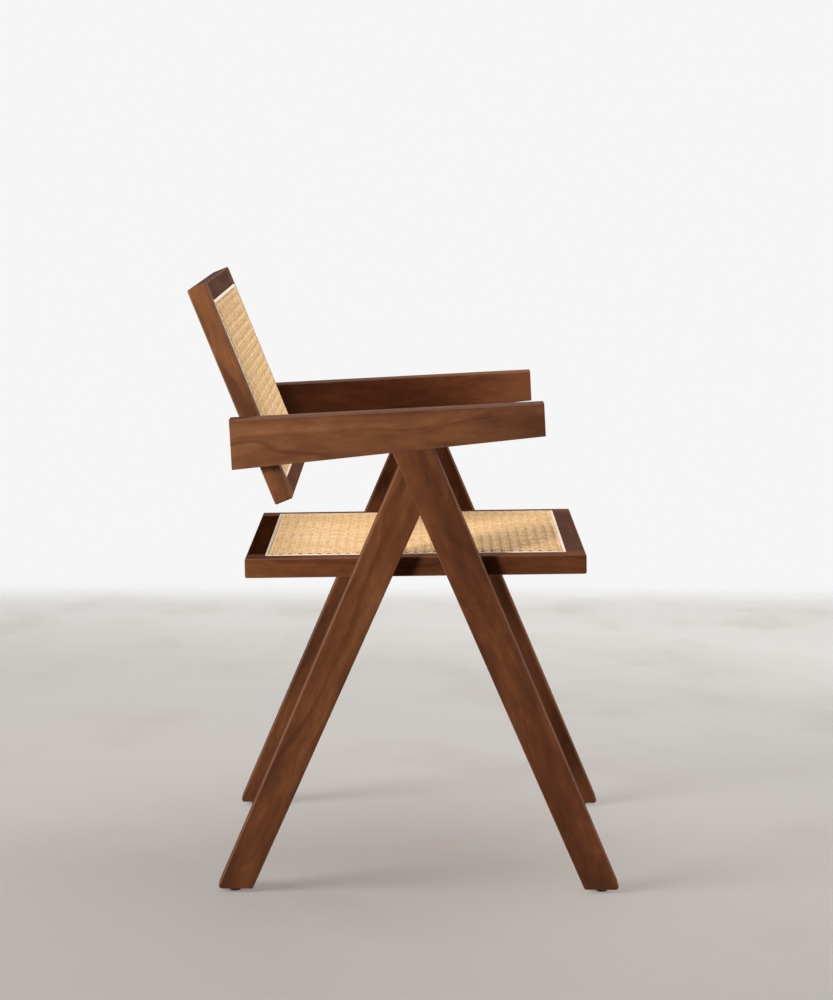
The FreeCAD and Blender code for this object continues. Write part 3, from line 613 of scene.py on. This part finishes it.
def reed_spline(name, half_length, place, material, seed):
    """Four rounded lengths of reed pressed into the groove, mitred where they meet at the corners."""
    pick = np.random.default_rng(seed)
    half_x = FRAME_HALF_WIDTH - BORDER_WIDTH
    half_y = half_length - BORDER_WIDTH
    turn = np.linspace(0.0, math.pi / 2, REED_ROUND_POINTS)
    rise = SPLINE_ROUND * (1 - np.cos(turn))
    lift = SPLINE_PROUD - SPLINE_ROUND * (1 - np.sin(turn))
    inward = np.concatenate(((0.0,), rise, SPLINE_WIDTH - rise[::-1], (SPLINE_WIDTH,)))
    height = np.concatenate(((-REED_DEPTH,), lift, lift[::-1], (-REED_DEPTH,)))
    around = len(inward)
    vertices = []
    faces = []
    uvs = []
    count = 0
    # The way each length faces, its distance from the middle and its half length
    lengths = (
        ((0, -1), half_y, half_x),
        ((1, 0), half_x, half_y),
        ((0, 1), half_y, half_x),
        ((-1, 0), half_x, half_y),
    )
    for outward, distance, half in lengths:
        outward = np.array(outward, dtype=float)
        along = np.array((-outward[1], outward[0]))
        share = np.linspace(-1.0, 1.0, max(2, int(2 * half / REED_STEP)))
        rows = len(share)
        waver = pick.normal(0.0, REED_WAVER, rows)
        waver[[0, -1]] = 0.0
        travel = share[:, None] * (half - inward[None, :])
        away = distance - inward[None, :] + waver[:, None]
        rings = np.empty((rows, around, 3))
        rings[:, :, :2] = travel[:, :, None] * along + away[:, :, None] * outward
        rings[:, :, 2] = height
        index = count + np.arange(rows * around).reshape(rows, around)
        ahead = np.roll(index, -1, axis=1)
        quads = np.stack((index[:-1], index[1:], ahead[1:], ahead[:-1]), axis=-1).reshape(-1, 4)
        faces += quads.tolist() + [index[0, ::-1].tolist(), index[-1].tolist()]
        vertices.append(rings.reshape(-1, 3))
        uvs.append(np.stack((travel.ravel(), np.tile(np.arange(around) / around, rows)), axis=-1))
        count += rows * around
    return mesh_piece(name, np.concatenate(vertices), faces, np.concatenate(uvs), place, material)


# Dressing the boards

def dress(node, material):
    """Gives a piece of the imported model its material."""
    nodes[node].data.materials.clear()
    nodes[node].data.materials.append(material)


UP_FRONT_LEG = (0.0, math.sin(LEG_LEAN), math.cos(LEG_LEAN))
UP_REAR_LEG = (0.0, -math.sin(LEG_LEAN), math.cos(LEG_LEAN))
ALONG_ARM = (0.0, -math.cos(ARM_LEAN), math.sin(ARM_LEAN))
ALONG_SEAT = SEAT_PLACE.to_3x3() @ Vector((0, 1, 0))
UP_BACK = BACK_PLACE.to_3x3() @ Vector((0, 1, 0))
SEAT_NORMAL = SEAT_PLACE.to_3x3() @ Vector((0, 0, 1))
BACK_NORMAL = BACK_PLACE.to_3x3() @ Vector((0, 0, 1))
SIDEWAYS = (1.0, 0.0, 0.0)

# The boards took the stain differently, and some stains also darken a board as painted shade: what each
# stain does to the red, green and blue of the wood
LIGHT_BROWN = (1.17, 1.24, 1.36)
BROWN = (0.88, 0.90, 1.00)
# Partly painted shade: darker for the left arm, which lies in the back's shadow
SHADED_DEEP_BROWN = (0.66, 0.57, 0.62)
RED_BROWN = (0.69, 0.63, 0.65)
WARM_BROWN = (0.69, 0.66, 0.65)
DARK_RED = (0.46, 0.39, 0.38)
# Painted shade: the darkest stain, for the rear rail, which lies in shade beneath the back
SHADED_DARKEST_RED = (0.34, 0.27, 0.25)
# How much the finish mirrors
SATIN = 0.05
DULL = 0.02
MATT = 0.0
# Direction of the grain, of the widest face, the stain and the finish for every board
BOARDS = {
    "arm_right": (ALONG_ARM, SIDEWAYS, BROWN, SATIN),
    # Partly painted shade on the left arm
    "arm_left": (ALONG_ARM, SIDEWAYS, SHADED_DEEP_BROWN, SATIN),
    "front_leg_right": (UP_FRONT_LEG, SIDEWAYS, RED_BROWN, SATIN),
    "front_leg_left": (UP_FRONT_LEG, SIDEWAYS, RED_BROWN, SATIN),
    "rear_leg_right": (UP_REAR_LEG, SIDEWAYS, WARM_BROWN, SATIN),
    "rear_leg_left": (UP_REAR_LEG, SIDEWAYS, WARM_BROWN, SATIN),
    "seat_side_right": (ALONG_SEAT, SEAT_NORMAL, RED_BROWN, DULL),
    "seat_side_left": (ALONG_SEAT, SEAT_NORMAL, RED_BROWN, DULL),
    "seat_rail_front": (SIDEWAYS, SEAT_NORMAL, DARK_RED, DULL),
    # Painted shade beneath the back
    "seat_rail_rear": (SIDEWAYS, SEAT_NORMAL, SHADED_DARKEST_RED, MATT),
    "back_stile_right": (UP_BACK, BACK_NORMAL, LIGHT_BROWN, DULL),
    "back_stile_left": (UP_BACK, BACK_NORMAL, RED_BROWN, DULL),
    "back_rail_top": (SIDEWAYS, BACK_NORMAL, DARK_RED, DULL),
    "back_rail_bottom": (SIDEWAYS, BACK_NORMAL, DARK_RED, DULL),
}
# Painted light and shade: change of tone per metre along the grain, where a board shows one, in place of
# light that falls off along the board and, on the left arm, of the back's shadow over its rear
PAINTED_LIGHT_DRIFT = {
    "arm_right": -0.9,
    "arm_left": 2.0,
    "front_leg_right": 0.2,
    "rear_leg_right": 0.4,
    "back_stile_right": 0.6,
    "seat_side_right": 0.3,
}
WOOD_SEED = 200
WEAVE_SEED = 7
REED_SEED = 17

for number, (node, (grain, face, stain, shine)) in enumerate(BOARDS.items()):
    corners = [Vector(corner) for corner in nodes[node].bound_box]
    middle = sum(corners, Vector()) / len(corners)
    seed = WOOD_SEED + number
    # Painted light and shade along the board, where one is given
    painted_light_drift = PAINTED_LIGHT_DRIFT.get(node, 0.0)
    dress(node, stained_wood(f"wood_{node}", grain, face, middle, seed, stain, shine, painted_light_drift))

bare_wood = dowel_material()
steel = steel_material()
glide = glide_material()
for node in ("arm_dowels", "leg_dowels", "back_arm_dowels", "seat_dowels", "back_dowels"):
    dress(node, bare_wood)
for node in ("seat_screws", "glide_nails"):
    dress(node, steel)
for end in ("front", "rear"):
    for side in ("right", "left"):
        dress(f"glide_pad_{end}_{side}", glide)

cane = cane_material()
reed = reed_material()
PANELS = (("seat", SEAT_HALF_LENGTH, SEAT_PLACE), ("back", BACK_HALF_LENGTH, BACK_PLACE))
for number, (panel, half_length, place) in enumerate(PANELS):
    weave = woven_cane(f"{panel}_weave", half_length, place, cane, WEAVE_SEED + number)
    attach(weave, "root")
    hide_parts(f"{panel}_cane")
    spline = reed_spline(f"{panel}_reed", half_length, place, reed, REED_SEED + number)
    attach(spline, "root")
    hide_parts(f"{panel}_spline")


# Floor, background, light and camera

def floor_material():
    """Pale smooth screed, darkest about one spot and lighter away from it as painted light, that fades out
    where the wall begins.
    """
    shader = Shader("floor")
    coordinates = shader.add("ShaderNodeTexCoord").outputs["Object"]
    parts = shader.add("ShaderNodeSeparateXYZ")
    shader.put(parts, "Vector", coordinates)
    # Distance from the middle, measured in a square with rounded corners
    fourth_powers = []
    for axis in "XY":
        fourth_powers.append(shader.math("POWER", shader.math("ABSOLUTE", parts.outputs[axis]), 4.0))
    edge = shader.math("POWER", shader.math("ADD", *fourth_powers), 0.25)
    # Painted light: lighter with distance from the darkest spot
    away = shader.measure("DISTANCE", coordinates, DARKEST_FLOOR)
    clouds = shader.noise(coordinates, even(2.2), 5.0, 0.6)
    fine = shader.noise(coordinates, even(60.0), 3.0, 0.6)
    tone = shader.weighted_sum(FLOOR_TONE_BASE, ((away, 1 / FLOOR_TONE_REACH), (clouds, FLOOR_CLOUDS)))
    patches = shader.noise(coordinates, (2.6, 3.4, 1.0), 4.0, 0.55)
    stains = shader.range(patches, 0.48, 0.72, 0.0, MOST_STAINED)
    colour = shader.mix(stains, shader.ramp(tone, FLOOR_TONES), FLOOR_STAIN)
    roughness = shader.math("MULTIPLY_ADD", fine, 0.2, 0.6)
    surface = shader.principled(colour, roughness, fine, bump=0.05, depth=0.4 * MM, Specular_IOR_Level=0.1)
    clear = shader.add("ShaderNodeBsdfTransparent")
    blend = shader.add("ShaderNodeMixShader")
    shader.put(blend, "Fac", shader.range(edge, FLOOR_FADES_FROM, FLOOR_FADES_TO))
    shader.tree.links.new(surface.outputs["BSDF"], blend.inputs[1])
    shader.tree.links.new(clear.outputs["BSDF"], blend.inputs[2])
    shader.tree.links.new(blend.outputs["Shader"], shader.output.inputs["Surface"])
    return shader.material


def build_floor():
    mesh = bpy.data.meshes.new("floor")
    corners = [(x * FLOOR_HALF, y * FLOOR_HALF, 0) for x, y in ((-1, -1), (1, -1), (1, 1), (-1, 1))]
    mesh.from_pydata(corners, [], [(0, 1, 2, 3)])
    mesh.materials.append(floor_material())
    floor = bpy.data.objects.new("floor", mesh)
    bpy.context.scene.collection.objects.link(floor)
    floor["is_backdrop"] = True
    return floor


def build_world():
    """A near-white wall for the camera and for reflections, and an even, softer light for the rest."""
    world = bpy.data.worlds.new("studio")
    bpy.context.scene.world = world
    world.use_nodes = True
    tree = world.node_tree
    tree.nodes.clear()
    output = tree.nodes.new("ShaderNodeOutputWorld")
    wall = tree.nodes.new("ShaderNodeBackground")
    ambient = tree.nodes.new("ShaderNodeBackground")
    choose = tree.nodes.new("ShaderNodeMixShader")
    path = tree.nodes.new("ShaderNodeLightPath")
    wall.inputs["Color"].default_value = WALL_COLOUR
    ambient.inputs["Color"].default_value = AMBIENT_COLOUR
    ambient.inputs["Strength"].default_value = AMBIENT_STRENGTH
    seen = tree.nodes.new("ShaderNodeMath")
    seen.operation = "MAXIMUM"
    mirrored = tree.nodes.new("ShaderNodeMath")
    mirrored.operation = "MAXIMUM"
    tree.links.new(path.outputs["Is Glossy Ray"], mirrored.inputs[0])
    tree.links.new(path.outputs["Is Transmission Ray"], mirrored.inputs[1])
    tree.links.new(path.outputs["Is Camera Ray"], seen.inputs[0])
    tree.links.new(mirrored.outputs[0], seen.inputs[1])
    tree.links.new(seen.outputs[0], choose.inputs["Fac"])
    tree.links.new(ambient.outputs["Background"], choose.inputs[1])
    tree.links.new(wall.outputs["Background"], choose.inputs[2])
    tree.links.new(choose.outputs["Shader"], output.inputs["Surface"])


def group(name, members):
    """A collection that a lamp is limited to, either of what it lights or of what shades it."""
    collection = bpy.data.collections.new(name)
    for member in members:
        collection.objects.link(member)
    return collection


def soft_light(name, place, target, size, power, receivers=None, blockers=None):
    """A round soft box; it lights only `receivers` and only `blockers` shade it, where those are given."""
    lamp = bpy.data.lights.new(name, "AREA")
    lamp.shape = "DISK"
    lamp.size = size
    lamp.energy = power
    lamp_object = bpy.data.objects.new(name, lamp)
    lamp_object.location = place
    lamp_object.rotation_mode = "QUATERNION"
    lamp_object.rotation_quaternion = (Vector(target) - Vector(place)).to_track_quat("-Z", "Y")
    lamp_object.visible_camera = False
    lamp_object.light_linking.receiver_collection = receivers
    lamp_object.light_linking.blocker_collection = blockers
    bpy.context.scene.collection.objects.link(lamp_object)


def build_camera():
    """The photograph's side view, about a metre up and looking slightly down."""
    camera = bpy.data.cameras.new("camera")
    camera.sensor_fit = "VERTICAL"
    camera.sensor_width = CAMERA_SENSOR
    camera.sensor_height = CAMERA_SENSOR
    camera.lens = CAMERA_LENS
    camera_object = bpy.data.objects.new("camera", camera)
    heading = Matrix.Rotation(math.radians(CAMERA_HEADING), 4, "Z")
    pitch = Matrix.Rotation(math.radians(90 - CAMERA_LOOKS_DOWN), 4, "X")
    roll = Matrix.Rotation(math.radians(CAMERA_ROLL), 4, "Z")
    camera_object.matrix_world = Matrix.Translation(CAMERA_PLACE) @ heading @ pitch @ roll
    bpy.context.scene.collection.objects.link(camera_object)
    bpy.context.scene.camera = camera_object


floor = build_floor()
build_world()
pads = [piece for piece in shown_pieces() if "glide_" in piece.name]
legs = [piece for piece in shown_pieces() if "leg_" in piece.name]
chair_only = group("chair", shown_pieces())
floor_only = group("ground", [floor])
pads_shade = group("pads", pads)
legs_shade = group("legs_and_pads", legs + pads)

# Lamps for the chair: place, target, width in metres, power in watts, what is lit, what gives shade
soft_light("key", (-2.65, 1.79, 1.12), (0.0, 0.0, 0.5), 0.6, 96.0, chair_only)
soft_light("front", (0.2, -2.3, 1.2), (0.0, 0.0, 0.5), 0.9, 50.0, chair_only)
soft_light("overhead", (1.4, 0.0, 2.8), (0.0, 0.0, 0.2), 2.0, 54.0, chair_only)
soft_light("side", (-1.35, 2.9, 0.88), (0.0, 0.0, 0.1), 0.8, 38.0, chair_only, legs_shade)
# Lamps for the floor: the legs' soft streaks, even light with the pads' shade, the chair's faint shade
soft_light("streaks", (-1.14, 2.45, 1.9), (0.0, 0.0, 0.0), 1.8, 32.0, floor_only, legs_shade)
soft_light("floor_wash", (1.4, -0.8, 3.5), (1.4, -0.8, 0.0), 6.0, 134.0, floor_only, pads_shade)
soft_light("floor_top", (1.4, -0.8, 3.5), (1.4, -0.8, 0.0), 6.0, 7.0, floor_only)
build_camera()
bpy.context.scene.view_settings.view_transform = "Standard"
